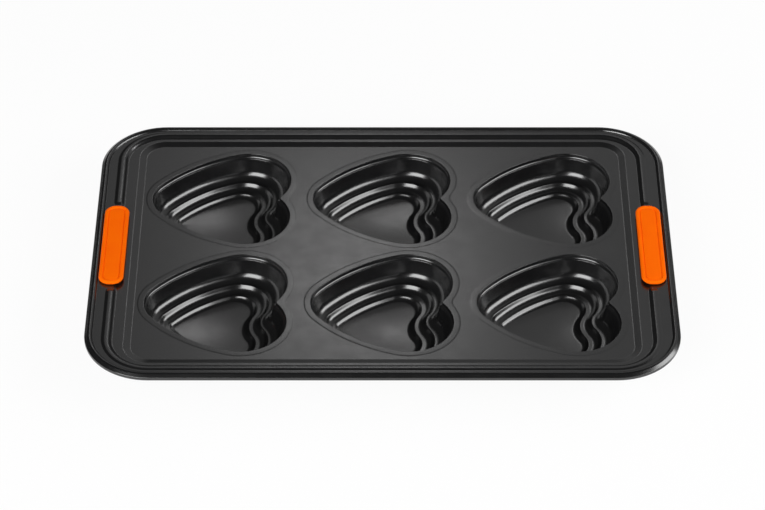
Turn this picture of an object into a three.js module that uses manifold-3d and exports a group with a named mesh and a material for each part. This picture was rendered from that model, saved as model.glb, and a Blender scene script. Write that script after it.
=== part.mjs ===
// Heart muffin pan: one pressed steel sheet with six heart-shaped cups, a wire in its rolled rim,
// and two silicone grips clipped through slots in the side flanges.
// Millimetres, +Z up, +X along the pan, origin on the table under the pan's middle.
import * as THREE from 'three';
import Module from 'manifold-3d';

const wasm = await Module();
wasm.setup();

// Sheet
const SHEET = 0.8;
const FIT_GAP = 0.3;

// Heart-shaped cups, every tip towards -X, and the deck around them
const CUPS_ALONG = 3;
const CUPS_ACROSS = 2;
const HEART_LENGTH = 96.1;
const HEART_WIDTH = 100.1;
const HEART_SIDE_RADIUS = 110;
const HEART_CLEFT_RADIUS = 3.4;
const FLOOR_TIP_RADIUS = 1;
const FLOOR_LOBE_RADIUS = 9.9;
// Deeper down a heart draws towards its tip: shift of its tip and lobes for each millimetre of inset
const TIP_DRIFT = 0.1;
const LOBE_DRIFT_X = 0.3;
const LOBE_DRIFT_Y = 0.14;
const CUP_GAP_X = 16.9;
const CUP_GAP_Y = 13.3;
const DECK_MARGIN_X = 7.5;
const DECK_MARGIN_Y = 8.7;
const DECK_CORNER_RADIUS = 13.6;

// Cup section: a short lip over a narrow band, a steep wall, then two lower tiers with coved ledges
const LIP_RADIUS = 0.3;
const LIP_DEPTH = 2.2;
const LIP_RUN = 0.4;
const BAND_DEPTH = 0.2;
const BAND_RUN = 0.8;
const UPPER_DRAFT_DEG = 11;
const TIER_DRAFT_DEG = 36;
const UPPER_TIER = 17.7;
const MIDDLE_TIER = 3.95;
const FLOOR_TIER = 3.65;
const UPPER_LEDGE = 7;
const MIDDLE_LEDGE = 4.4;
const LEDGE_SLOPE_DEG = 2;
const UPPER_COVE_RADIUS = 6.8;
const MIDDLE_COVE_RADIUS = 6;
const FLOOR_COVE_RADIUS = 5.5;

// Flange widths on the left and right sides, from the rim inwards
const SIDE_LAND = 6.4;
const SIDE_RIDGE_OUTER = 2.4;
const SIDE_RIDGE_TOP = 2.2;
const SIDE_RIDGE_INNER = 3;
const SIDE_LEDGE = 7.5;
// Flange widths along the front and back, from the rim inwards
const LONG_LAND = 2.2;
const LONG_RIDGE_OUTER = 1.4;
const LONG_RIDGE_TOP = 1.6;
const LONG_RIDGE_INNER = 3.7;
const LONG_LEDGE = 2.3;
// Sloping step from the ledge down to the deck, the same all round
const STEP_RUN = 4.8;
// Levels of the land and the ledge over the deck, and of the ridge over the land
const LAND_RISE = 2.6;
const LEDGE_RISE = 1.2;
const RIDGE_HEIGHT = 0.6;
// The ridge stops short of each grip and runs out over a short length
const RIDGE_END_GAP = 3;
const RIDGE_END_RUN = 4;

// Rolled rim: the sheet is curled round a wire, whose middle lies below the flange
const WIRE_RADIUS = 1.6;
const RIM_DROP = 1.3;
const CURL_END_DEG = 330;

// Grips
const GRIP_LENGTH = 84;
const GRIP_WIDTH = 17;
const GRIP_END_RADIUS = 7.5;
const GRIP_MARGIN = 1;
const GRIP_HEIGHT = 2.6;
const GRIP_EDGE = 1.2;
const GRIP_BORDER = 2.6;
const GRIP_PANEL_DROP = 0.6;
const GRIP_UNDER_HEIGHT = 2;
const GRIP_UNDER_INSET = 1.6;
const SLOT_INSET = 4.4;

// Facets
const CORNER_STEPS = 6;
const CURL_STEPS = 9;
const RIDGE_STEPS = 2;
const RIDGE_END_STEPS = 2;
const COVE_STEPS = 2;
const TIP_STEPS = 3;
const SIDE_STEPS = 2;
const LOBE_STEPS = 6;
const CLEFT_STEPS = 2;
const GRIP_CORNER_STEPS = 5;
const GRIP_EDGE_STEPS = 2;
const WIRE_SIDES = 8;
// Share of a wall that a rounded corner may take
const ROUND_SHARE = 0.9;

// Levels and rim values that follow from the sizes above
const CUP_DEPTH = UPPER_TIER + MIDDLE_TIER + FLOOR_TIER;
const DECK_Z = CUP_DEPTH + SHEET;
const LAND_Z = DECK_Z + LAND_RISE;
const LEDGE_Z = DECK_Z + LEDGE_RISE;
const RIM_RADIUS = WIRE_RADIUS + FIT_GAP + SHEET;
const RIM_INNER_RADIUS = RIM_RADIUS - SHEET;
const RIM_Z = LAND_Z - RIM_DROP;
const CURL_END = THREE.MathUtils.degToRad(CURL_END_DEG);
const CURL_START = Math.asin(RIM_DROP / RIM_RADIUS);
const CURL_INNER_START = Math.asin((RIM_DROP - SHEET) / RIM_INNER_RADIUS);
const CREASE_INSET = RIM_RADIUS * (1 + Math.cos(CURL_START));
const SIDE_RIDGE = SIDE_RIDGE_OUTER + SIDE_RIDGE_TOP + SIDE_RIDGE_INNER;
const LONG_RIDGE = LONG_RIDGE_OUTER + LONG_RIDGE_TOP + LONG_RIDGE_INNER;
const SIDE_FLANGE = CREASE_INSET + SIDE_LAND + SIDE_RIDGE + SIDE_LEDGE + STEP_RUN;
const LONG_FLANGE = CREASE_INSET + LONG_LAND + LONG_RIDGE + LONG_LEDGE + STEP_RUN;
const CUP_PITCH_X = HEART_LENGTH + CUP_GAP_X;
const CUP_PITCH_Y = HEART_WIDTH + CUP_GAP_Y;
const DECK_LENGTH = CUPS_ALONG * CUP_PITCH_X - CUP_GAP_X + 2 * DECK_MARGIN_X;
const DECK_WIDTH = CUPS_ACROSS * CUP_PITCH_Y - CUP_GAP_Y + 2 * DECK_MARGIN_Y;
const PAN_LENGTH = DECK_LENGTH + 2 * SIDE_FLANGE;
const PAN_WIDTH = DECK_WIDTH + 2 * LONG_FLANGE;
const RIDGE_END_Y = GRIP_LENGTH / 2 + RIDGE_END_GAP;
const UPPER_TAN = Math.tan(THREE.MathUtils.degToRad(UPPER_DRAFT_DEG));
const TIER_TAN = Math.tan(THREE.MathUtils.degToRad(TIER_DRAFT_DEG));
const LEDGE_TAN = Math.tan(THREE.MathUtils.degToRad(LEDGE_SLOPE_DEG));

const COATING = { color: 0x3a3a3c, roughness: 0.35, metalness: 0.3 };
const STEEL = { color: 0x9a9c9e, roughness: 0.4, metalness: 1 };
const SILICONE = { color: 0xff6a00, roughness: 0.6, metalness: 0 };

// Moves a profile sideways by a distance, to the right of its direction of travel
function offsetProfile(points, distance) {
  return points.map((p, k) => {
    const before = points[Math.max(k - 1, 0)];
    const after = points[Math.min(k + 1, points.length - 1)];
    const a = p.equals(before) ? after.clone().sub(p) : p.clone().sub(before);
    const b = p.equals(after) ? a : after.clone().sub(p);
    const na = new THREE.Vector2(a.y, -a.x).normalize();
    const nb = new THREE.Vector2(b.y, -b.x).normalize();
    const mitre = distance / (1 + na.dot(nb));
    return p.clone().addScaledVector(na.add(nb), mitre);
  });
}

// Rounds the corners of a profile; each corner is { at, radius, steps }, its radius limited by its walls
function roundProfile(corners) {
  return corners.flatMap(({ at, radius, steps }, k) => {
    if (!radius) return [at];
    const u = corners[k - 1].at.clone().sub(at);
    const v = corners[k + 1].at.clone().sub(at);
    const room = ROUND_SHARE * Math.min(u.length(), v.length());
    u.normalize();
    v.normalize();
    const half = Math.acos(u.dot(v)) / 2;
    const reach = Math.min(radius / Math.tan(half), room);
    const centre = u.clone().add(v).setLength(reach / Math.cos(half)).add(at);
    const from = at.clone().addScaledVector(u, reach).sub(centre);
    const turn = (Math.PI - 2 * half) * Math.sign(u.cross(v));
    return Array.from({ length: steps + 1 }, (_, i) =>
      from.clone().rotateAround(new THREE.Vector2(), -turn * i / steps).add(centre));
  });
}

// Rounded rectangle, anticlockwise, with extra points where its left and right sides pass each station
function roundedRectangle(halfX, halfY, radius, steps, stations = []) {
  const points = [];
  const corners = [[1, 1], [-1, 1], [-1, -1], [1, -1]];
  corners.forEach(([sx, sy], k) => {
    for (let i = 0; i <= steps; i++) {
      const angle = (k + i / steps) * Math.PI / 2;
      const x = sx * (halfX - radius) + radius * Math.cos(angle);
      const y = sy * (halfY - radius) + radius * Math.sin(angle);
      points.push(new THREE.Vector2(x, y));
    }
    if (k % 2 === 1) {
      const x = sx * halfX;
      stations.forEach((y) => points.push(new THREE.Vector2(x, -sx * y)));
    }
  });
  return points;
}

// Collects rings of points and the faces between them into one closed mesh
class Skin {
  constructor() {
    this.positions = [];
    this.index = [];
  }

  ring(points, heights) {
    const start = this.positions.length / 3;
    points.forEach((p, k) => this.positions.push(p.x, p.y, Array.isArray(heights) ? heights[k] : heights));
    return Array.from({ length: points.length }, (_, k) => start + k);
  }

  // Faces between two rings point out of the body when the first ring lies inside or above the second
  join(first, second) {
    first.forEach((a, k) => {
      const next = (k + 1) % first.length;
      this.index.push(a, second[k], second[next], a, second[next], first[next]);
    });
  }

  joinAll(rings) {
    rings.slice(1).forEach((ring, k) => this.join(rings[k], ring));
  }

  // A flat face with holes, seen from above when up is true
  face(outline, holes, up) {
    const at = (i) => new THREE.Vector2(this.positions[3 * i], this.positions[3 * i + 1]);
    const all = [outline, ...holes].flat();
    const triangles = THREE.ShapeUtils.triangulateShape(outline.map(at), holes.map((h) => h.map(at)));
    triangles.forEach(([a, b, c]) => {
      const [p, q, r] = [a, b, c].map((k) => at(all[k]));
      const anticlockwise = q.clone().sub(p).cross(r.clone().sub(p)) > 0;
      this.index.push(all[a], ...(anticlockwise === up ? [all[b], all[c]] : [all[c], all[b]]));
    });
  }

  geometry() {
    const geometry = new THREE.BufferGeometry();
    geometry.setAttribute('position', new THREE.Float32BufferAttribute(this.positions, 3));
    geometry.setIndex(this.index);
    return geometry;
  }
}

function toSolid(geometry) {
  const vertProperties = new Float32Array(geometry.attributes.position.array);
  const triVerts = new Uint32Array(geometry.index.array);
  return new wasm.Manifold(new wasm.Mesh({ numProp: 3, vertProperties, triVerts }));
}

function fromSolid(solid) {
  const mesh = solid.getMesh();
  const geometry = new THREE.BufferGeometry();
  geometry.setAttribute('position', new THREE.Float32BufferAttribute(mesh.vertProperties, 3));
  geometry.setIndex(Array.from(mesh.triVerts));
  return geometry;
}

// Section of a cup as inset from the lip and height, from the deck to the floor: its inside,
// or its underside when drop is the sheet's thickness
function cupSection(drop) {
  const corners = [];
  let x = 0;
  let z = DECK_Z;
  const corner = (run, fall, radius, steps) => {
    x += run;
    z -= fall;
    corners.push({ at: new THREE.Vector2(x, z), radius, steps });
  };
  const tier = (depth, lean, ledge, radius) => {
    const fall = depth - ledge * LEDGE_TAN;
    corner(fall * lean, fall, radius + drop, COVE_STEPS);
    corner(ledge, ledge * LEDGE_TAN);
  };
  corner(-2 * LIP_RADIUS, 0);
  corner(2 * LIP_RADIUS, 0, Math.max(LIP_RADIUS - drop, 0), 1);
  corner(LIP_RUN, LIP_DEPTH);
  corner(BAND_RUN, BAND_DEPTH);
  tier(UPPER_TIER - LIP_DEPTH - BAND_DEPTH, UPPER_TAN, UPPER_LEDGE, UPPER_COVE_RADIUS);
  tier(MIDDLE_TIER, TIER_TAN, MIDDLE_LEDGE, MIDDLE_COVE_RADIUS);
  corner(FLOOR_TIER * TIER_TAN, FLOOR_TIER, FLOOR_COVE_RADIUS + drop, COVE_STEPS);
  corner(FLOOR_COVE_RADIUS, 0);
  offsetProfile(corners.map(({ at }) => at), drop).forEach((at, k) => {
    corners[k].at = at;
  });
  return roundProfile(corners).slice(1, -1);
}

const CUP_INSIDE = cupSection(0);
const CUP_UNDERSIDE = cupSection(SHEET);
const HEART_TIP_RADIUS = CUP_INSIDE.at(-1).x + FLOOR_TIP_RADIUS;
const HEART_LOBE_RADIUS = CUP_INSIDE.at(-1).x * (1 - LOBE_DRIFT_Y) + FLOOR_LOBE_RADIUS;

// Heart outline of the lip, moved inwards by an inset, as arcs of tip, side, lobe and cleft
function heartLoop(inset) {
  const depth = Math.max(inset, 0);
  const tip = new THREE.Vector2(HEART_TIP_RADIUS - HEART_LENGTH / 2 - TIP_DRIFT * depth, 0);
  const lobe = new THREE.Vector2(HEART_LENGTH, HEART_WIDTH).multiplyScalar(0.5).subScalar(HEART_LOBE_RADIUS);
  lobe.addScaledVector(new THREE.Vector2(LOBE_DRIFT_X, LOBE_DRIFT_Y), -depth);
  const tipRadius = HEART_TIP_RADIUS - inset;
  const lobeRadius = HEART_LOBE_RADIUS - inset + LOBE_DRIFT_Y * depth;
  const sideRadius = HEART_SIDE_RADIUS - inset;
  const cleftRadius = HEART_CLEFT_RADIUS + inset;
  const toTip = sideRadius - tipRadius;
  const toLobe = sideRadius - lobeRadius;
  const span = tip.distanceTo(lobe);
  const along = (toTip ** 2 - toLobe ** 2 + span ** 2) / (2 * span);
  const axis = lobe.clone().sub(tip).normalize();
  const across = new THREE.Vector2(axis.y, -axis.x).multiplyScalar(Math.sqrt(toTip ** 2 - along ** 2));
  const side = tip.clone().addScaledVector(axis, along).add(across);
  const reach = lobeRadius + cleftRadius;
  const cleft = new THREE.Vector2(lobe.x + Math.sqrt(reach ** 2 - lobe.y ** 2), 0);
  const tipEnd = tip.clone().sub(side).angle();
  const sideEnd = lobe.clone().sub(side).angle();
  const lobeEnd = cleft.clone().sub(lobe).angle() - 2 * Math.PI;
  const arcs = [
    [tip, tipRadius, Math.PI, tipEnd, TIP_STEPS],
    [side, sideRadius, tipEnd, sideEnd, SIDE_STEPS],
    [lobe, lobeRadius, sideEnd, lobeEnd, LOBE_STEPS],
    [cleft, cleftRadius, lobeEnd + Math.PI, Math.PI, CLEFT_STEPS],
  ];
  const upper = arcs.flatMap(([centre, radius, from, to, steps]) =>
    Array.from({ length: steps }, (_, i) => {
      const angle = from + (to - from) * i / steps;
      return new THREE.Vector2(Math.cos(angle), Math.sin(angle)).multiplyScalar(radius).add(centre);
    }));
  const notch = new THREE.Vector2(cleft.x - cleftRadius, 0);
  const lower = upper.slice(1).map((p) => new THREE.Vector2(p.x, -p.y));
  return [...lower, notch, ...upper.slice(1).reverse(), upper[0]];
}

// Section of the flange from the rim's crease to the deck: insets on both kinds of side, and height
function flangeProfile() {
  const rows = [];
  let side = CREASE_INSET;
  let long = CREASE_INSET;
  const row = (height, ridge, sideMore = 0, longMore = 0) =>
    rows.push({ side: side + sideMore, long: long + longMore, height, ridge });
  const advance = (sideWidth, longWidth) => {
    side += sideWidth;
    long += longWidth;
  };
  advance(SIDE_LAND, LONG_LAND);
  row(LAND_Z, 0);
  for (let k = 1; k <= RIDGE_STEPS; k++) {
    const u = k / RIDGE_STEPS;
    row(LAND_Z, RIDGE_HEIGHT * Math.sin(u * Math.PI / 2) ** 2, u * SIDE_RIDGE_OUTER, u * LONG_RIDGE_OUTER);
  }
  advance(SIDE_RIDGE_OUTER + SIDE_RIDGE_TOP, LONG_RIDGE_OUTER + LONG_RIDGE_TOP);
  for (let k = 0; k <= RIDGE_STEPS; k++) {
    const u = k / RIDGE_STEPS;
    const share = Math.cos(u * Math.PI / 2) ** 2;
    const height = LEDGE_Z + (LAND_Z - LEDGE_Z) * share;
    row(height, RIDGE_HEIGHT * share, u * SIDE_RIDGE_INNER, u * LONG_RIDGE_INNER);
  }
  advance(SIDE_RIDGE_INNER + SIDE_LEDGE, LONG_RIDGE_INNER + LONG_LEDGE);
  row(LEDGE_Z, 0);
  advance(STEP_RUN, STEP_RUN);
  row(DECK_Z, 0);
  return rows;
}

// How much of the ridge's height is left at a distance from the pan's middle, along a side
function ridgeShare(y) {
  const u = THREE.MathUtils.clamp((Math.abs(y) - RIDGE_END_Y) / RIDGE_END_RUN, 0, 1);
  return Math.sqrt(1 - (1 - u) ** 2);
}

// Places along a side where the ridge runs out in a quarter round, on both sides of a grip
function sideStations() {
  const ends = Array.from({ length: RIDGE_END_STEPS + 1 }, (_, k) =>
    RIDGE_END_Y + RIDGE_END_RUN * (1 - Math.sin(k / RIDGE_END_STEPS * Math.PI / 2)));
  return [...ends, ...ends.map((y) => -y).reverse()];
}

function rimLoop(sideInset, longInset) {
  const radius = DECK_CORNER_RADIUS + SIDE_FLANGE - sideInset;
  const halfX = PAN_LENGTH / 2 - sideInset;
  const halfY = PAN_WIDTH / 2 - longInset;
  return roundedRectangle(halfX, halfY, radius, CORNER_STEPS, sideStations());
}

function cupCentres() {
  const centres = [];
  for (let i = 0; i < CUPS_ALONG; i++) {
    for (let j = 0; j < CUPS_ACROSS; j++) {
      const x = (i - (CUPS_ALONG - 1) / 2) * CUP_PITCH_X;
      const y = (j - (CUPS_ACROSS - 1) / 2) * CUP_PITCH_Y;
      centres.push(new THREE.Vector2(x, y));
    }
  }
  return centres;
}

function panSheet() {
  const skin = new Skin();
  const rows = flangeProfile();

  const flangeRing = (row, drop) => {
    const loop = rimLoop(row.side + drop.x, row.long + drop.x);
    return skin.ring(loop, loop.map((p) => row.height + drop.y + row.ridge * ridgeShare(p.y)));
  };
  const curlRing = (radius, angle) => {
    const inset = RIM_RADIUS + radius * Math.cos(angle);
    return skin.ring(rimLoop(inset, inset), RIM_Z + radius * Math.sin(angle));
  };
  const curlAngles = (start) => Array.from({ length: CURL_STEPS + 1 }, (_, i) =>
    start + (CURL_END - start) * i / CURL_STEPS);

  // Underside of the flange: the same section, one sheet lower, measured square to it
  const section = rows.map((row) => new THREE.Vector2(row.long, row.height + row.ridge));
  const lead = section[0].clone().setX(CREASE_INSET);
  const tail = section.at(-1).clone().setX(LONG_FLANGE + DECK_MARGIN_Y);
  const below = offsetProfile([lead, ...section, tail], SHEET).slice(1, -1);
  const drops = below.map((p, k) => p.sub(section[k]));
  const flat = new THREE.Vector2();

  const top = rows.map((row) => flangeRing(row, flat)).reverse();
  const outside = curlAngles(CURL_START).map((angle) => curlRing(RIM_RADIUS, angle));
  const inside = curlAngles(CURL_INNER_START).map((angle) => curlRing(RIM_INNER_RADIUS, angle)).reverse();
  const under = rows.map((row, k) => flangeRing(row, drops[k]));
  skin.joinAll([...top, ...outside, ...inside, ...under]);

  // Cups, inside and outside
  const cupRings = (section, centre) =>
    section.map((p) => skin.ring(heartLoop(p.x).map((q) => q.add(centre)), p.y));
  const centres = cupCentres();
  const insides = centres.map((centre) => cupRings(CUP_INSIDE, centre));
  const outsides = centres.map((centre) => cupRings(CUP_UNDERSIDE, centre));
  insides.forEach((rings) => {
    skin.joinAll([...rings].reverse());
    skin.face(rings.at(-1), [], true);
  });
  outsides.forEach((rings) => {
    skin.joinAll(rings);
    skin.face(rings.at(-1), [], false);
  });
  skin.face(top[0], insides.map((rings) => rings[0]), true);
  skin.face(under.at(-1), outsides.map((rings) => rings[0]), false);

  let solid = toSolid(skin.geometry());
  gripPlaces().forEach((x) => {
    solid = solid.subtract(toSolid(gripSlot(x)));
  });
  return fromSolid(solid);
}

function rimWire() {
  const skin = new Skin();
  const rings = [];
  for (let i = 0; i < WIRE_SIDES; i++) {
    const angle = (i + 0.5) * 2 * Math.PI / WIRE_SIDES;
    const inset = RIM_RADIUS + WIRE_RADIUS * Math.cos(angle);
    rings.push(skin.ring(rimLoop(inset, inset), RIM_Z + WIRE_RADIUS * Math.sin(angle)));
  }
  skin.joinAll([...rings, rings[0]]);
  return skin.geometry();
}

function gripPlaces() {
  const x = PAN_LENGTH / 2 - CREASE_INSET - GRIP_MARGIN - GRIP_WIDTH / 2;
  return [-x, x];
}

function gripLoop(x, inset) {
  const halfX = GRIP_WIDTH / 2 - inset;
  const halfY = GRIP_LENGTH / 2 - inset;
  const radius = Math.min(Math.max(GRIP_END_RADIUS - inset, FIT_GAP), ROUND_SHARE * halfX);
  const loop = roundedRectangle(halfX, halfY, radius, GRIP_CORNER_STEPS);
  return loop.map((p) => p.add(new THREE.Vector2(x, 0)));
}

// Slot through the flange that a grip's waist passes
function gripSlot(x) {
  const skin = new Skin();
  const top = skin.ring(gripLoop(x, SLOT_INSET - FIT_GAP), LAND_Z + SHEET);
  const bottom = skin.ring(gripLoop(x, SLOT_INSET - FIT_GAP), LEDGE_Z - 2 * SHEET);
  skin.join(top, bottom);
  skin.face(top, [], true);
  skin.face(bottom, [], false);
  return skin.geometry();
}

// Grip: a pad with a raised border above the flange, a waist in the slot and a flat pad below
function grip(x) {
  const skin = new Skin();
  const seat = LAND_Z + FIT_GAP;
  const underSeat = LEDGE_Z - SHEET - FIT_GAP;
  const crown = seat + GRIP_HEIGHT;
  const foot = underSeat - GRIP_UNDER_HEIGHT;
  const edge = Array.from({ length: GRIP_EDGE_STEPS + 1 }, (_, k) => {
    const angle = k / GRIP_EDGE_STEPS * Math.PI / 2;
    return [GRIP_EDGE * (1 - Math.sin(angle)), crown - GRIP_EDGE * (1 - Math.cos(angle))];
  });
  const section = [
    [GRIP_EDGE + GRIP_BORDER, crown - GRIP_PANEL_DROP],
    [GRIP_BORDER, crown],
    ...edge,
    [0, seat],
    [SLOT_INSET, seat],
    [SLOT_INSET, underSeat],
    [GRIP_UNDER_INSET, underSeat],
    [GRIP_UNDER_INSET, foot + GRIP_EDGE],
    [GRIP_UNDER_INSET + GRIP_EDGE, foot],
  ];
  const rings = section.map(([inset, height]) => skin.ring(gripLoop(x, inset), height));
  skin.joinAll(rings);
  skin.face(rings[0], [], true);
  skin.face(rings.at(-1), [], false);
  return skin.geometry();
}

function piece(name, geometry, finish) {
  geometry.computeVertexNormals();
  const mesh = new THREE.Mesh(geometry, new THREE.MeshStandardMaterial(finish));
  mesh.name = name;
  return mesh;
}

const pan = new THREE.Group();
const [left, right] = gripPlaces();
pan.add(piece('pan_sheet', panSheet(), COATING));
pan.add(piece('rim_wire', rimWire(), STEEL));
pan.add(piece('grip_left', grip(left), SILICONE));
pan.add(piece('grip_right', grip(right), SILICONE));

export default pan;
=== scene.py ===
# Heart muffin pan, dressed: the coated sheet, the wire in its rolled rim and two silicone grips
import math

import bpy
import numpy as np
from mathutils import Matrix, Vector
from mathutils.geometry import delaunay_2d_cdt


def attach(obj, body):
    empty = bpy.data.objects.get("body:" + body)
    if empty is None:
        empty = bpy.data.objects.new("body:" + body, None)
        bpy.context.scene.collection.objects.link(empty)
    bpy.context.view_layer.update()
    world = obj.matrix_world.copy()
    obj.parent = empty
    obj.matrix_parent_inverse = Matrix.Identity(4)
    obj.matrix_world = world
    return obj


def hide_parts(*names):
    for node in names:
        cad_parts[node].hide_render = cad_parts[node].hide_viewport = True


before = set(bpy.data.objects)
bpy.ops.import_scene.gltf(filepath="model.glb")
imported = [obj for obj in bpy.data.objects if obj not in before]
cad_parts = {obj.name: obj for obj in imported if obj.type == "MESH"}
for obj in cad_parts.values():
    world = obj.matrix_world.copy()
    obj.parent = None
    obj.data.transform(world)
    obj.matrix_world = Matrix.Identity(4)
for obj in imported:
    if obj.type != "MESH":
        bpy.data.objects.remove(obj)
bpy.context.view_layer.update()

# Metres in a millimetre, the unit of the pan's sizes
MM = 0.001

# Sizes of the pan as its solids have them, from the sheet and the gap between fitted pieces on
SHEET = 0.8
FIT_GAP = 0.3

# Heart-shaped cups, every tip towards -X, and the deck around them
CUPS_ALONG = 3
CUPS_ACROSS = 2
HEART_LENGTH = 96.1
HEART_WIDTH = 100.1
HEART_SIDE_RADIUS = 110
HEART_CLEFT_RADIUS = 3.4
FLOOR_TIP_RADIUS = 1
FLOOR_LOBE_RADIUS = 9.9
# Deeper down a heart draws towards its tip: shift of its tip and lobes for each millimetre of inset
TIP_DRIFT = 0.1
LOBE_DRIFT_X = 0.3
LOBE_DRIFT_Y = 0.14
CUP_GAP_X = 16.9
CUP_GAP_Y = 13.3
DECK_MARGIN_X = 7.5
DECK_MARGIN_Y = 8.7
DECK_CORNER_RADIUS = 13.6

# Cup section: a short lip over a narrow band, a steep wall, then two lower tiers with coved ledges
LIP_RADIUS = 0.3
LIP_RUN = 0.4
BAND_DEPTH = 0.2
TIER_DRAFT = math.radians(36)
UPPER_TIER = 17.7
MIDDLE_TIER = 3.95
FLOOR_TIER = 3.65
LEDGE_SLOPE = math.radians(2)
UPPER_COVE_RADIUS = 6.8

# Flange widths on the left and right sides, from the rim inwards
SIDE_LAND = 6.4
SIDE_RIDGE_OUTER = 2.4
SIDE_RIDGE_TOP = 2.2
SIDE_RIDGE_INNER = 3
SIDE_LEDGE = 7.5
# Flange widths along the front and back, from the rim inwards
LONG_LAND = 2.2
LONG_RIDGE_OUTER = 1.4
LONG_RIDGE_TOP = 1.6
LONG_RIDGE_INNER = 3.7
LONG_LEDGE = 2.3
# Sloping step from the ledge down to the deck, the same all round
STEP_RUN = 4.8
# Levels of the land and the ledge over the deck, and of the ridge over the land
LAND_RISE = 2.6
LEDGE_RISE = 1.2
RIDGE_HEIGHT = 0.6
# The ridge stops short of each grip and runs out over a short length
RIDGE_END_GAP = 3
RIDGE_END_RUN = 4

# The wire in the rolled rim, and how far the roll's middle lies below the flange
WIRE_RADIUS = 1.6
RIM_DROP = 1.3

# Grips, and the slots in the flange that their waists pass through
GRIP_LENGTH = 84
GRIP_WIDTH = 17
GRIP_END_RADIUS = 7.5
GRIP_MARGIN = 1
GRIP_HEIGHT = 2.6
GRIP_EDGE = 1.2
GRIP_UNDER_HEIGHT = 2
GRIP_UNDER_INSET = 1.6
SLOT_INSET = 4.4

# Forms that differ a little from the solids, to look like the real pan: the lips lie further out and are
# deeper, the lobes lie nearer to the tips, and walls, ledges, coves and panels suit the reflections
LIP_OUTSET = 0.8
LIP_DEPTH = 3.1
LOBE_TRIM = 0.8
BAND_RUN = 1.4
UPPER_DRAFT = math.radians(12)
FLOOR_DRAFT = math.radians(41)
UPPER_LEDGE = 6.2
MIDDLE_LEDGE = 4.7
MIDDLE_COVE_RADIUS = 5.2
FLOOR_COVE_RADIUS = 4.2
GRIP_PANEL_DROP = 0.4

# Fine forms that only the dressed pan has: rounded edges, dished cup floors and a collar round each cup
BAND_COVE_RADIUS = 1.7
BAND_EDGE_RADIUS = 0.3
EDGE_RADIUS = 0.85
LEDGE_EDGE = 0.4
FLOOR_SLOPE = 0.09
FLOOR_DISH_RADIUS = 26
FLOOR_MIDDLE_X = 6
COLLAR_HEIGHT = 0.07
COLLAR_WIDTH = 4.5
COLLAR_SLOPE = 1.2
COLLAR_CLEFT_RADIUS = 15

# The bead of the rolled rim: a round crest and a leaning flank, then an underside whose corners have an
# inset from the pan's edge and a height over the crest's middle
BEAD_RADIUS = 2.3
BEAD_INSET = 3.4
BEAD_DROP = 0.9
BEAD_LEAN = math.radians(38)
BEAD_EDGE_RADIUS = 0.35
BEAD_TURN_RADIUS = 0.9
BEAD_MARGIN = 0.1
BEAD_UNDER = ((BEAD_MARGIN, -1.8), (1.6, -3), (4.4, -3), (5.4, -1.8))
BEAD_WIRE_DROP = 0.5

# The crowned panel on a grip, the groove round it and the rounded edge under its border
GRIP_PANEL_INSET = 3.5
GRIP_PANEL_MIDDLE = 0.5
GRIP_PANEL_BOW = 0.2
GRIP_GROOVE_RUN = 0.6
GRIP_GROOVE_DEPTH = 0.35
GRIP_UNDERCUT = 1.1

# Narrow strips beside rounded edges, which keep flat faces looking flat
FLAT_MARGIN = 0.25
DECK_HOLD = 0.5
FLAT_HOLD = 0.25
# Walls of a profile up to this length go without them
HELD_WALL = 1

# Largest share of a wall that a rounding may take
ROUND_SHARE = 0.9

# Place across the ridge, in half widths, that lies on the flat beside it
OFF_RIDGE = 2

# Distance within which points of a flat face count as one
MERGE_DISTANCE = 1e-7

# Looks of the surfaces: scale of the patches, their colours and roughness from dark and smooth to light
# and rough, then the scale of the grain and its depth in millimetres
COATING_LOOK = {
    "scale": 90,
    "dark": (0.0045, 0.0045, 0.0047),
    "light": (0.0055, 0.0055, 0.0057),
    "smooth": 0.195,
    "rough": 0.225,
    "grain": 900,
    "depth": 0.002,
}
COATING_IOR = 1.76
WIRE_LOOK = {
    "scale": 300,
    "dark": (0.5, 0.5, 0.51),
    "light": (0.6, 0.6, 0.61),
    "smooth": 0.28,
    "rough": 0.42,
    "grain": 2500,
    "depth": 0.004,
}
SILICONE_LOOK = {
    "scale": 70,
    "dark": (0.99, 0.132, 0),
    "light": (1, 0.148, 0),
    "smooth": 0.62,
    "rough": 0.76,
    "grain": 1200,
    "depth": 0.006,
}
SILICONE_SPECULAR = 0.05

# Share of a noise where its patches begin and end
PATCH_RANGE = (0.3, 0.7)

# The floor: reach and drop in metres, and the share by which the eye sees it lifted towards white
FLOOR_REACH = 8
FLOOR_DROP = 0.0001
FLOOR_LIFT = 0.93
FLOOR_COLOUR = (0.9, 0.9, 0.9, 1)
FLOOR_ROUGHNESS = 0.9

# The dim room round the pan
ROOM_COLOUR = (0.042, 0.042, 0.042, 1)

# Lit panels: azimuth (0 is behind the pan, 90 to its right) and elevation in degrees, then distance,
# width and height in metres, then radiance
SOFTBOXES = {
    "right": (98, 29, 2.2, 2.2, 0.95, 6.1),
    "right_fill": (133, 36, 2.2, 0.7, 0.8, 1.0),
    "left": (-146.5, 27, 2.6, 1.88, 1.8, 7.5),
    "back": (-0.9, 41, 2.6, 0.3, 0.22, 2.9),
    "backdrop": (28, 37, 3.0, 3.74, 2.2, 0.34),
}

# The camera: place and reach in metres, lens and sensor in millimetres
CAMERA_PLACE = (0.0, -1.7708, 1.4806)
CAMERA_TILT = math.radians(50.5)
CAMERA_REACH = 50
CAMERA_LENS = 155.93
CAMERA_SENSOR = 36

# Facets
LOBE_STEPS = 26
SIDE_STEPS = 9
TIP_STEPS = 10
CLEFT_STEPS = 8
CORNER_STEPS = 18
CURL_STEPS = 24
RIDGE_STEPS = 10
RIDGE_END_STEPS = 10
COVE_STEPS = 12
UNDER_COVE_STEPS = 6
EDGE_STEPS = 5
COLLAR_STEPS = 6
GRIP_STEPS = 12
FLOOR_RINGS = 6
WIRE_SIDES = 14

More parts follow.
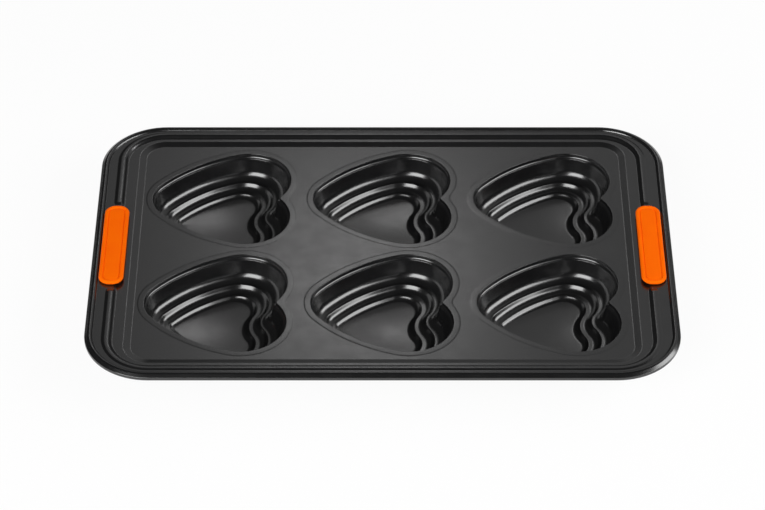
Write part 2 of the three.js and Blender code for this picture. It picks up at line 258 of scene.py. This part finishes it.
# Levels and widths that follow from the sizes above
CUP_DEPTH = UPPER_TIER + MIDDLE_TIER + FLOOR_TIER
DECK_Z = CUP_DEPTH + SHEET
LAND_Z = DECK_Z + LAND_RISE
LEDGE_Z = DECK_Z + LEDGE_RISE
RIM_RADIUS = WIRE_RADIUS + FIT_GAP + SHEET
CREASE_INSET = RIM_RADIUS + math.sqrt(RIM_RADIUS**2 - RIM_DROP**2)
BEAD_Z = LAND_Z - BEAD_DROP
BEAD_CREASE = BEAD_INSET + math.sqrt(BEAD_RADIUS**2 - BEAD_DROP**2)
SIDE_RIDGE = SIDE_RIDGE_OUTER + SIDE_RIDGE_TOP + SIDE_RIDGE_INNER
LONG_RIDGE = LONG_RIDGE_OUTER + LONG_RIDGE_TOP + LONG_RIDGE_INNER
SIDE_FLANGE = CREASE_INSET + SIDE_LAND + SIDE_RIDGE + SIDE_LEDGE + STEP_RUN
LONG_FLANGE = CREASE_INSET + LONG_LAND + LONG_RIDGE + LONG_LEDGE + STEP_RUN
CUP_PITCH_X = HEART_LENGTH + CUP_GAP_X
CUP_PITCH_Y = HEART_WIDTH + CUP_GAP_Y
PAN_LENGTH = CUPS_ALONG * CUP_PITCH_X - CUP_GAP_X + 2 * (DECK_MARGIN_X + SIDE_FLANGE)
PAN_WIDTH = CUPS_ACROSS * CUP_PITCH_Y - CUP_GAP_Y + 2 * (DECK_MARGIN_Y + LONG_FLANGE)
RIDGE_END_Y = GRIP_LENGTH / 2 + RIDGE_END_GAP
LEDGE_TAN = math.tan(LEDGE_SLOPE)


def offset_profile(points, distance):
    """Moves a profile sideways by a distance, to the right of its direction of travel"""
    steps = np.diff(points, axis=0)
    steps /= np.linalg.norm(steps, axis=1)[:, None]
    normals = np.column_stack([steps[:, 1], -steps[:, 0]])
    before = np.vstack([normals[:1], normals])
    after = np.vstack([normals, normals[-1:]])
    mitre = distance / (1 + (before * after).sum(1))
    return points + (before + after) * mitre[:, None]


def round_profile(corners):
    """Rounds the corners (x, z, radius, steps) of a profile; a radius is limited by its walls"""
    points = []
    for k, (x, z, radius, steps) in enumerate(corners):
        at = np.array([x, z])
        if radius <= 0:
            points.append(at)
            continue
        u = np.array(corners[k - 1][:2]) - at
        v = np.array(corners[k + 1][:2]) - at
        room = ROUND_SHARE * min(np.linalg.norm(u), np.linalg.norm(v))
        u /= np.linalg.norm(u)
        v /= np.linalg.norm(v)
        half = math.acos(np.dot(u, v)) / 2
        reach = min(radius / math.tan(half), room)
        bisector = (u + v) / np.linalg.norm(u + v)
        centre = at + bisector * reach / math.cos(half)
        spoke = at + u * reach - centre
        turn = -(math.pi - 2 * half) * np.sign(u[0] * v[1] - u[1] * v[0])
        for i in range(steps + 1):
            c, s = math.cos(turn * i / steps), math.sin(turn * i / steps)
            points.append(centre + [c * spoke[0] - s * spoke[1], s * spoke[0] + c * spoke[1]])
    return np.array(points)


def hold_walls(profile):
    """Adds points near both ends of the straight walls of a profile, so that they look flat"""
    points = [profile[0]]
    for start, end in zip(profile, profile[1:]):
        length = np.linalg.norm(end - start)
        if length > HELD_WALL:
            step = (end - start) * FLAT_HOLD / length
            points += [start + step, end - step]
        points.append(end)
    return np.array(points)


def cup_section(drop):
    """Inset and height along a cup, from the deck to the floor; drop moves it to the underside"""
    corners = []
    place = [-LIP_OUTSET - 2 * LIP_RADIUS, DECK_Z]
    steps = UNDER_COVE_STEPS if drop else COVE_STEPS

    def corner(run, fall, radius=0.0, count=0):
        place[0] += run
        place[1] -= fall
        corners.append([place[0], place[1], radius, count])

    def tier(fall, draft, ledge, radius):
        wall = fall - ledge * LEDGE_TAN
        corner(wall * math.tan(draft), wall, radius + drop, steps)
        corner(ledge, ledge * LEDGE_TAN, EDGE_RADIUS - drop, EDGE_STEPS)

    corner(0, 0)
    corner(2 * LIP_RADIUS, 0, LIP_RADIUS - drop, EDGE_STEPS)
    corner(LIP_RUN, LIP_DEPTH, BAND_COVE_RADIUS + drop, EDGE_STEPS)
    corner(BAND_RUN, BAND_DEPTH, BAND_EDGE_RADIUS - drop, EDGE_STEPS)
    tier(UPPER_TIER - LIP_DEPTH - BAND_DEPTH, UPPER_DRAFT, UPPER_LEDGE, UPPER_COVE_RADIUS)
    tier(MIDDLE_TIER, TIER_DRAFT, MIDDLE_LEDGE, MIDDLE_COVE_RADIUS)
    corner(FLOOR_TIER * math.tan(FLOOR_DRAFT), FLOOR_TIER, FLOOR_COVE_RADIUS + drop, steps)
    corner(FLOOR_COVE_RADIUS, 0)
    moved = offset_profile(np.array(corners)[:, :2], drop)
    rounded = [(*at, radius, count) for at, (_, _, radius, count) in zip(moved, corners)]
    return hold_walls(round_profile(rounded)[1:-1])


CUP_INSIDE = cup_section(0)
CUP_UNDERSIDE = cup_section(SHEET)
HEART_TIP_RADIUS = CUP_INSIDE[-1][0] + FLOOR_TIP_RADIUS
HEART_LOBE_RADIUS = CUP_INSIDE[-1][0] * (1 - LOBE_DRIFT_Y) + FLOOR_LOBE_RADIUS


def heart(inset, cleft_radius=HEART_CLEFT_RADIUS):
    """Heart outline of a cup, moved inwards by an inset; deeper down it also draws towards its tip"""
    depth = max(inset, 0)
    tip = np.array([HEART_TIP_RADIUS - HEART_LENGTH / 2 - TIP_DRIFT * depth, 0])
    lobe = np.array([HEART_LENGTH / 2 - LOBE_TRIM, HEART_WIDTH / 2]) - HEART_LOBE_RADIUS
    lobe -= np.array([LOBE_DRIFT_X, LOBE_DRIFT_Y]) * depth
    tip_radius = HEART_TIP_RADIUS - inset
    lobe_radius = HEART_LOBE_RADIUS - inset + LOBE_DRIFT_Y * depth
    side_radius = HEART_SIDE_RADIUS - inset
    notch_radius = cleft_radius + inset
    to_tip = side_radius - tip_radius
    to_lobe = side_radius - lobe_radius
    span = np.linalg.norm(lobe - tip)
    along = (to_tip**2 - to_lobe**2 + span**2) / (2 * span)
    axis = (lobe - tip) / span
    side = tip + axis * along + np.array([axis[1], -axis[0]]) * math.sqrt(to_tip**2 - along**2)
    cleft = np.array([lobe[0] + math.sqrt((lobe_radius + notch_radius) ** 2 - lobe[1] ** 2), 0])
    tip_end = math.atan2(*(tip - side)[::-1])
    side_end = math.atan2(*(lobe - side)[::-1])
    lobe_end = math.atan2(*(cleft - lobe)[::-1])
    arcs = [
        (tip, tip_radius, math.pi, tip_end, TIP_STEPS),
        (side, side_radius, tip_end, side_end, SIDE_STEPS),
        (lobe, lobe_radius, side_end, lobe_end, LOBE_STEPS),
        (cleft, notch_radius, lobe_end + math.pi, math.pi, CLEFT_STEPS),
    ]
    upper = []
    for centre, radius, start, end, steps in arcs:
        angles = start + (end - start) * np.arange(steps) / steps
        upper.append(centre + radius * np.column_stack([np.cos(angles), np.sin(angles)]))
    upper = np.vstack(upper)
    lower = upper[1:] * [1, -1]
    notch = [[cleft[0] - notch_radius, 0]]
    return np.vstack([lower, notch, upper[:0:-1], upper[:1]])


def rounded_rectangle(half_x, half_y, radius, steps, stations=()):
    """Rounded rectangle, anticlockwise, with an extra point at each station of its short sides"""
    points = []
    for k, (sx, sy) in enumerate([(1, 1), (-1, 1), (-1, -1), (1, -1)]):
        angles = (k + np.arange(steps + 1) / steps) * math.pi / 2
        middle = [sx * (half_x - radius), sy * (half_y - radius)]
        points.append(middle + radius * np.column_stack([np.cos(angles), np.sin(angles)]))
        if k % 2 and len(stations):
            side = np.full(len(stations), sx * half_x)
            points.append(np.column_stack([side, -sx * np.array(stations)]))
    return np.vstack(points)


def side_stations():
    """Places along a side where the ridge runs out, on both sides of a grip"""
    ends = RIDGE_END_Y + RIDGE_END_RUN * np.linspace(1, 0, RIDGE_END_STEPS)
    return np.concatenate([ends, -ends[::-1]])


STATIONS = side_stations()


def rim_loop(side_inset, long_inset):
    """Outline of the pan, moved inwards by an inset from its short sides and one from its long sides"""
    radius = DECK_CORNER_RADIUS + SIDE_FLANGE - side_inset
    half_x = PAN_LENGTH / 2 - side_inset
    half_y = PAN_WIDTH / 2 - long_inset
    return rounded_rectangle(half_x, half_y, radius, CORNER_STEPS, STATIONS)


def bend(start, corner, end, steps):
    """A smooth corner between two points"""
    t = np.linspace(0, 1, steps + 1)[:, None]
    return (1 - t) ** 2 * start + 2 * t * (1 - t) * corner + t**2 * end


def flange_section(land, outer, top, inner, ledge):
    """Inset, height and place across the ridge (0 is its top) from the rim's crease to the deck"""
    base = CREASE_INSET + land
    crest = base + outer
    fall = crest + top
    brink = np.array([fall + inner + ledge, LEDGE_Z])
    foot = np.array([brink[0] + STEP_RUN, DECK_Z])
    edge = np.array([LEDGE_EDGE, 0])
    down = np.array([LEDGE_EDGE, -LEDGE_RISE / STEP_RUN * LEDGE_EDGE])
    flats = (BEAD_CREASE, BEAD_CREASE + FLAT_HOLD, base - FLAT_HOLD)
    rows = [(inset, LAND_Z, -OFF_RIDGE) for inset in flats]
    rows += [(crest + s * outer, LAND_Z, s) for s in np.linspace(-1, 0, RIDGE_STEPS + 1)]
    for s in np.linspace(0, 1, RIDGE_STEPS + 1):
        height = LEDGE_Z + (LAND_Z - LEDGE_Z) * math.cos(s * math.pi / 2) ** 2
        rows.append((fall + s * inner, height, s))
    rows.append((fall + inner + FLAT_HOLD, LEDGE_Z, OFF_RIDGE))
    rows.append((brink[0] - LEDGE_EDGE - FLAT_HOLD, LEDGE_Z, OFF_RIDGE))
    rows += [(*p, OFF_RIDGE) for p in bend(brink - edge, brink, brink + down, EDGE_STEPS)]
    rows += [(*p, OFF_RIDGE) for p in bend(foot - down, foot, foot + edge, EDGE_STEPS)]
    rows.append((foot[0] + DECK_HOLD, DECK_Z, OFF_RIDGE))
    return np.array(rows)


def bead_section(depth):
    """Inset and height over the rolled rim, from its crease over the crest and down the outer flank
    to its end under the land; depth moves it into the sheet"""
    radius = BEAD_RADIUS - depth
    start = math.asin((BEAD_DROP - depth) / radius)
    angles = np.linspace(start, math.pi / 2 + BEAD_LEAN, CURL_STEPS)
    crest = np.column_stack([BEAD_INSET + radius * np.cos(angles), BEAD_Z + radius * np.sin(angles)])
    flank = BEAD_INSET - BEAD_RADIUS * math.sin(BEAD_LEAN)
    shoulder = BEAD_Z + BEAD_RADIUS * math.cos(BEAD_LEAN)
    corners = [(flank, shoulder), (BEAD_MARGIN, shoulder - (flank - BEAD_MARGIN) * math.tan(BEAD_LEAN))]
    corners += [(inset, BEAD_Z + height) for inset, height in BEAD_UNDER]
    corners = offset_profile(np.array(corners), -depth)
    radii = (0, BEAD_EDGE_RADIUS, *[BEAD_TURN_RADIUS] * (len(BEAD_UNDER) - 1), 0)
    rounded = [(*at, radius - depth, EDGE_STEPS) for at, radius in zip(corners, radii)]
    return np.vstack([crest, hold_walls(round_profile(rounded))[1:]])


def ridge_height(across, y):
    """Height of the ridge at a place across it; it ends in a half round on both sides of a grip"""
    run_out = np.clip((RIDGE_END_Y + RIDGE_END_RUN - np.abs(y)) / RIDGE_END_RUN, 0, 1)
    return RIDGE_HEIGHT * np.cos(math.pi / 2 * np.minimum(np.hypot(across, run_out), 1)) ** 2


class Skin:
    """Collects rings of points and the faces between them into one mesh, in millimetres"""

    def __init__(self):
        self.points = []
        self.faces = []

    def ring(self, outline, heights):
        """Adds a closed outline at one height or at a height for each point"""
        start = len(self.points)
        self.points += [(x, y, z) for (x, y), z in zip(outline, np.broadcast_to(heights, len(outline)))]
        return list(range(start, len(self.points)))

    def join(self, first, second):
        """Spans a band of faces between two rings with as many points"""
        count = len(first)
        for k in range(count):
            n = (k + 1) % count
            self.faces.append((first[k], second[k], second[n], first[n]))

    def join_all(self, rings):
        """Spans the bands between all rings, in their order"""
        for first, second in zip(rings, rings[1:]):
            self.join(first, second)

    def face(self, outline, holes, up):
        """A flat face with holes, seen from above when up is true"""
        loops = [outline, *holes]
        index = [i for loop in loops for i in loop]
        flat = [Vector(self.points[i][:2]) for i in index]
        edges = []
        for loop in loops:
            start = len(edges)
            edges += [(start + k, start + (k + 1) % len(loop)) for k in range(len(loop))]
        found = delaunay_2d_cdt(flat, edges, [], 0, MERGE_DISTANCE)
        triangles = np.array(found[2])
        corners = np.array([tuple(p) for p in found[0]])
        middles = corners[triangles].mean(1)
        kept = inside(middles, corners_of(self.points, outline))
        for hole in holes:
            kept &= ~inside(middles, corners_of(self.points, hole))
        original = [index[ids[0]] for ids in found[3]]
        for a, b, c in triangles[kept]:
            face = (original[a], original[b], original[c])
            self.faces.append(face if up else face[::-1])

    def object(self, name, material):
        """The finished mesh in metres, smooth and with its material"""
        mesh = bpy.data.meshes.new(name)
        mesh.from_pydata((np.array(self.points) * MM).tolist(), [], self.faces)
        mesh.polygons.foreach_set("use_smooth", [True] * len(mesh.polygons))
        mesh.materials.append(material)
        mesh.validate()
        piece = bpy.data.objects.new(name, mesh)
        bpy.context.scene.collection.objects.link(piece)
        return piece


def corners_of(points, loop):
    """Places of a ring's points, seen from above"""
    return np.array([points[i][:2] for i in loop])


def inside(points, polygon):
    """Which points lie inside a polygon"""
    result = np.zeros(len(points), bool)
    x, y = points.T
    for (x0, y0), (x1, y1) in zip(polygon, np.roll(polygon, -1, axis=0)):
        if y0 == y1:
            continue
        crosses = (y0 > y) != (y1 > y)
        result ^= crosses & (x < (x1 - x0) * (y - y0) / (y1 - y0) + x0)
    return result


def cup_centres():
    """Middles of the hearts, in columns from the left"""
    for i in range(CUPS_ALONG):
        for j in range(CUPS_ACROSS):
            yield np.array([
                (i - (CUPS_ALONG - 1) / 2) * CUP_PITCH_X,
                (j - (CUPS_ACROSS - 1) / 2) * CUP_PITCH_Y,
            ])


def collar_rings(skin, centre):
    """The low collar round a cup, from the deck to its flat top"""
    outer = COLLAR_WIDTH + COLLAR_SLOPE
    rings = [skin.ring(heart(-outer - FLAT_MARGIN, COLLAR_CLEFT_RADIUS) + centre, DECK_Z)]
    for t in np.linspace(0, 1, COLLAR_STEPS + 1):
        loop = heart(t * COLLAR_SLOPE - outer, COLLAR_CLEFT_RADIUS)
        rings.append(skin.ring(loop + centre, DECK_Z + COLLAR_HEIGHT * math.sin(t * math.pi / 2) ** 2))
    brim = heart(-LIP_OUTSET - LIP_RADIUS - FLAT_HOLD)
    rings.append(skin.ring(brim + centre, DECK_Z + COLLAR_HEIGHT))
    return rings


def dish_rise(outline):
    """Height of the dished floor over its middle; towards the walls its slope stays the same"""
    distance = np.hypot(*(outline - [FLOOR_MIDDLE_X, 0]).T)
    return FLOOR_SLOPE * (np.hypot(distance, FLOOR_DISH_RADIUS) - FLOOR_DISH_RADIUS)


def cup_rings(skin, section, centre, dished):
    """Rings of a cup from its lip towards its floor's middle; a dished floor lifts its cove along the
    wall, from the wall's last point on"""
    cove = len(section) - COVE_STEPS - 2
    middle = np.array([FLOOR_MIDDLE_X, 0])
    rings = []
    for k, (inset, height) in enumerate(section):
        outline = heart(inset)
        if dished and k >= cove:
            rise = dish_rise(outline)
            outline = outline + (heart(inset - 1) - outline) * (rise * math.tan(FLOOR_DRAFT))[:, None]
            height = height + rise
        rings.append(skin.ring(outline + centre, height))
    for share in np.arange(FLOOR_RINGS - 1, 0, -1) / FLOOR_RINGS:
        inner = (outline - middle) * share + middle
        rise = dish_rise(inner) if dished else 0
        rings.append(skin.ring(inner + centre, section[-1][1] + rise))
    return rings


def flange(skin):
    """The flange with its rolled rim; gives the rings where its top and its underside meet the deck"""
    side = flange_section(SIDE_LAND, SIDE_RIDGE_OUTER, SIDE_RIDGE_TOP, SIDE_RIDGE_INNER, SIDE_LEDGE)
    long = flange_section(LONG_LAND, LONG_RIDGE_OUTER, LONG_RIDGE_TOP, LONG_RIDGE_INNER, LONG_LEDGE)

    def flange_ring(side_row, long_row, across):
        loop = rim_loop(side_row[0], long_row[0])
        return skin.ring(loop, side_row[1] + ridge_height(across, loop[:, 1]))

    def bead_rings(rows):
        return [skin.ring(rim_loop(inset, inset), height) for inset, height in rows]

    top = [flange_ring(a, b, a[2]) for a, b in zip(side, long)]
    curl = bead_rings(bead_section(0)[1:])
    roll = bead_rings(bead_section(SHEET)[::-1])
    under_side = offset_profile(side[:, :2], SHEET)
    under_long = offset_profile(long[:, :2], SHEET)
    under = [flange_ring(a, b, s) for a, b, s in zip(under_side[1:], under_long[1:], side[1:, 2])]
    skin.join_all([*top[::-1], *curl, *roll, *under])
    return top[-1], under[-1]


def cups(skin):
    """All the cups; gives the rings where their insides and their outsides meet the deck"""
    lift = np.clip(1 - (DECK_Z - CUP_INSIDE[:, 1]) / LIP_DEPTH, 0, 1)
    raised = CUP_INSIDE + np.outer(lift, [0, COLLAR_HEIGHT])
    insides = [collar_rings(skin, c) + cup_rings(skin, raised, c, True) for c in cup_centres()]
    outsides = [cup_rings(skin, CUP_UNDERSIDE, centre, False) for centre in cup_centres()]
    for rings in insides:
        skin.join_all(rings[::-1])
        skin.face(rings[-1], [], True)
    for rings in outsides:
        skin.join_all(rings)
        skin.face(rings[-1], [], False)
    return [rings[0] for rings in insides], [rings[0] for rings in outsides]


def pan_sheet(material):
    """The pressed sheet: flange, cups and the deck between them, with its top and its underside"""
    skin = Skin()
    top, under = flange(skin)
    insides, outsides = cups(skin)
    skin.face(top, insides, True)
    skin.face(under, outsides, False)
    return skin.object("pan_coated_sheet", material)


def rim_wire(material):
    """The wire inside the rolled rim"""
    skin = Skin()
    rings = []
    for angle in np.arange(WIRE_SIDES) * 2 * math.pi / WIRE_SIDES:
        inset = BEAD_INSET + WIRE_RADIUS * math.cos(angle)
        height = BEAD_Z - BEAD_WIRE_DROP + WIRE_RADIUS * math.sin(angle)
        rings.append(skin.ring(rim_loop(inset, inset), height))
    skin.join_all([*rings, rings[0]])
    return skin.object("rim_wire_drawn", material)


def grip_loop(x, inset):
    """Outline of a grip at a place along the pan, moved inwards by an inset"""
    half_x = GRIP_WIDTH / 2 - inset
    radius = min(max(GRIP_END_RADIUS - inset, FIT_GAP), ROUND_SHARE * half_x)
    return rounded_rectangle(half_x, GRIP_LENGTH / 2 - inset, radius, GRIP_STEPS) + [x, 0]


def grip_section():
    """Inset and height round a grip, from its panel over the border and the waist to the lower pad"""
    seat = LAND_Z + FIT_GAP
    under_seat = LEDGE_Z - SHEET - FIT_GAP
    crown = seat + GRIP_HEIGHT
    foot = under_seat - GRIP_UNDER_HEIGHT
    panel = crown - GRIP_PANEL_DROP
    groove = panel - GRIP_GROOVE_DEPTH
    half = GRIP_WIDTH / 2
    quarter = np.linspace(0, math.pi / 2, GRIP_STEPS)
    rows = []
    for inset in np.linspace(half - GRIP_PANEL_MIDDLE, GRIP_PANEL_INSET, GRIP_STEPS):
        bow = 1 - ((half - inset) / (half - GRIP_PANEL_INSET)) ** 2
        rows.append((inset, panel + GRIP_PANEL_BOW * bow))
    fall = (np.linspace(0, 1, EDGE_STEPS + 1), panel, groove, GRIP_PANEL_INSET)
    climb = (np.linspace(0, 1, GRIP_STEPS), groove, crown, GRIP_PANEL_INSET - GRIP_GROOVE_RUN)
    for places, start, end, inset in (fall, climb):
        for t in places:
            height = start + (end - start) * math.sin(t * math.pi / 2) ** 2
            rows.append((inset - t * GRIP_GROOVE_RUN, height))
    for a in quarter:
        rows.append((GRIP_EDGE * (1 - math.sin(a)), crown - GRIP_EDGE * (1 - math.cos(a))))
    for a in quarter:
        rows.append((GRIP_UNDERCUT * (1 - math.cos(a)), seat + GRIP_UNDERCUT * (1 - math.sin(a))))
    rows += [(SLOT_INSET, seat), (SLOT_INSET, under_seat), (GRIP_UNDER_INSET, under_seat)]
    for a in quarter:
        inset = GRIP_UNDER_INSET + GRIP_EDGE * (1 - math.cos(a))
        rows.append((inset, foot + GRIP_EDGE * (1 - math.sin(a))))
    return rows


def grip(name, side, material):
    """A soft grip on the left (side -1) or the right (side 1) flange"""
    skin = Skin()
    x = side * (PAN_LENGTH / 2 - CREASE_INSET - GRIP_MARGIN - GRIP_WIDTH / 2)
    rings = [skin.ring(grip_loop(x, inset), height) for inset, height in grip_section()]
    skin.join_all(rings)
    skin.face(rings[0], [], True)
    skin.face(rings[-1], [], False)
    return skin.object(name, material)


def new_material(name):
    """A material with its nodes, links and surface shader"""
    material = bpy.data.materials.new(name)
    material.use_nodes = True
    nodes = material.node_tree.nodes
    return material, nodes, material.node_tree.links, nodes["Principled BSDF"]


def mottled(name, scale, dark, light, smooth, rough, grain, depth):
    """A surface whose colour and gloss vary in soft patches, over a fine grain"""
    material, nodes, links, shader = new_material(name)
    place = nodes.new("ShaderNodeTexCoord")
    patches = nodes.new("ShaderNodeTexNoise")
    patches.inputs["Scale"].default_value = scale
    links.new(place.outputs["Object"], patches.inputs["Vector"])
    tint = nodes.new("ShaderNodeValToRGB")
    for stop, at, colour in zip(tint.color_ramp.elements, PATCH_RANGE, (dark, light)):
        stop.position = at
        stop.color = (*colour, 1)
    links.new(patches.outputs["Fac"], tint.inputs["Fac"])
    links.new(tint.outputs["Color"], shader.inputs["Base Color"])
    gloss = nodes.new("ShaderNodeMapRange")
    for socket, value in zip(("From Min", "From Max", "To Min", "To Max"), (*PATCH_RANGE, smooth, rough)):
        gloss.inputs[socket].default_value = value
    links.new(patches.outputs["Fac"], gloss.inputs["Value"])
    links.new(gloss.outputs["Result"], shader.inputs["Roughness"])
    grains = nodes.new("ShaderNodeTexNoise")
    grains.inputs["Scale"].default_value = grain
    links.new(place.outputs["Object"], grains.inputs["Vector"])
    bump = nodes.new("ShaderNodeBump")
    bump.inputs["Distance"].default_value = depth * MM
    links.new(grains.outputs["Fac"], bump.inputs["Height"])
    links.new(bump.outputs["Normal"], shader.inputs["Normal"])
    return material, shader


def coating():
    """Sprayed non-stick coating: near-black with a satin gloss"""
    material, shader = mottled("coating", **COATING_LOOK)
    shader.inputs["IOR"].default_value = COATING_IOR
    return material


def wire_steel():
    """Bare drawn wire"""
    material, shader = mottled("wire_steel", **WIRE_LOOK)
    shader.inputs["Metallic"].default_value = 1
    return material


def silicone():
    """Soft orange moulding, matt"""
    material, shader = mottled("silicone", **SILICONE_LOOK)
    shader.inputs["Specular IOR Level"].default_value = SILICONE_SPECULAR
    return material


def floor_white():
    """White that keeps the shadow; the eye and reflections see it lifted towards white"""
    material, nodes, links, shader = new_material("floor_white")
    shader.inputs["Base Color"].default_value = FLOOR_COLOUR
    shader.inputs["Roughness"].default_value = FLOOR_ROUGHNESS
    shader.inputs["Specular IOR Level"].default_value = 0
    glow = nodes.new("ShaderNodeEmission")
    ray = nodes.new("ShaderNodeLightPath")
    seen = nodes.new("ShaderNodeMath")
    seen.operation = "ADD"
    links.new(ray.outputs["Is Camera Ray"], seen.inputs[0])
    links.new(ray.outputs["Is Glossy Ray"], seen.inputs[1])
    through = nodes.new("ShaderNodeMath")
    through.operation = "ADD"
    through.use_clamp = True
    links.new(seen.outputs[0], through.inputs[0])
    links.new(ray.outputs["Is Transmission Ray"], through.inputs[1])
    share = nodes.new("ShaderNodeMath")
    share.operation = "MULTIPLY"
    share.inputs[1].default_value = FLOOR_LIFT
    links.new(through.outputs[0], share.inputs[0])
    blend = nodes.new("ShaderNodeMixShader")
    links.new(share.outputs[0], blend.inputs["Fac"])
    links.new(shader.outputs["BSDF"], blend.inputs[1])
    links.new(glow.outputs["Emission"], blend.inputs[2])
    links.new(blend.outputs["Shader"], nodes["Material Output"].inputs["Surface"])
    return material


def floor(material):
    """The ground under the pan"""
    mesh = bpy.data.meshes.new("floor")
    square = ((-1, -1), (1, -1), (1, 1), (-1, 1))
    corners = [(x * FLOOR_REACH, y * FLOOR_REACH, -FLOOR_DROP) for x, y in square]
    mesh.from_pydata(corners, [], [(0, 1, 2, 3)])
    mesh.materials.append(material)
    ground = bpy.data.objects.new("floor", mesh)
    bpy.context.scene.collection.objects.link(ground)


def camera():
    """A long lens in front of the pan that looks down at it"""
    data = bpy.data.cameras.new("camera")
    data.lens = CAMERA_LENS
    data.sensor_width = CAMERA_SENSOR
    data.clip_end = CAMERA_REACH
    view = bpy.data.objects.new("camera", data)
    view.location = CAMERA_PLACE
    view.rotation_euler = (CAMERA_TILT, 0, 0)
    bpy.context.scene.collection.objects.link(view)
    bpy.context.scene.camera = view


def softbox(name, azimuth, elevation, distance, width, height, radiance):
    """A lit panel that faces the pan"""
    turn, climb = math.radians(azimuth), math.radians(elevation)
    way = Vector((math.sin(turn) * math.cos(climb), math.cos(turn) * math.cos(climb), math.sin(climb)))
    data = bpy.data.lights.new(name, "AREA")
    data.shape = "RECTANGLE"
    data.size = width
    data.size_y = height
    data.energy = radiance * math.pi * width * height
    lamp = bpy.data.objects.new(name, data)
    lamp.location = way * distance
    lamp.rotation_euler = way.to_track_quat("Z", "Y").to_euler()
    bpy.context.scene.collection.objects.link(lamp)


def light():
    """Soft panels round the pan in a dim room"""
    world = bpy.data.worlds.new("studio")
    world.use_nodes = True
    world.node_tree.nodes["Background"].inputs["Color"].default_value = ROOM_COLOUR
    bpy.context.scene.world = world
    for name, panel in SOFTBOXES.items():
        softbox(name, *panel)
    bpy.context.scene.view_settings.view_transform = "Standard"


camera()
light()
floor(floor_white())
sheet = pan_sheet(coating())
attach(sheet, "root")
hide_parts("pan_sheet")
wire = rim_wire(wire_steel())
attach(wire, "root")
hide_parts("rim_wire")
soft = silicone()
for name, node, side in (
    ("grip_left_moulded", "grip_left", -1),
    ("grip_right_moulded", "grip_right", 1),
):
    piece = grip(name, side, soft)
    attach(piece, "root")
    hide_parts(node)
